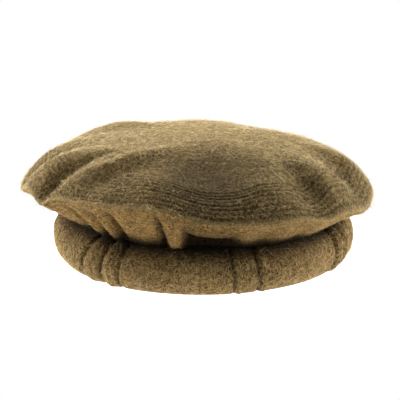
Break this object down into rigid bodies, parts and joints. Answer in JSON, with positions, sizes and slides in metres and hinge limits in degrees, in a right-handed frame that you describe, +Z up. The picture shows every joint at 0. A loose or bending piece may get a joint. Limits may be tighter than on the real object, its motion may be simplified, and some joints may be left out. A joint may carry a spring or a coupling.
{
  "type": "pakol hat",
  "caption": "Soft round wool hat with a slack domed crown, a gathered wall under it and a thick rolled brim that it rests on.",
  "frame": {"origin": "middle of the hat's outline seen from above, on the surface that the roll rests on", "axes": "+Z up out of the crown, -Y to the front of the hat, +X to its right as seen from the front"},
  "size_m": [0.2906, 0.2886, 0.1045],
  "materials": {
    "crown_felt": "brushed brown wool felt with a quilted margin",
    "wall_felt": "gathered brown wool felt",
    "roll_felt": "brown wool felt wound into a roll, brushed and a little matted"
  },
  "bodies": {
    "root": {"crown_top": "crown_felt", "crown_wall": "wall_felt", "rolled_brim": "roll_felt"}
  },
  "joints": []
}
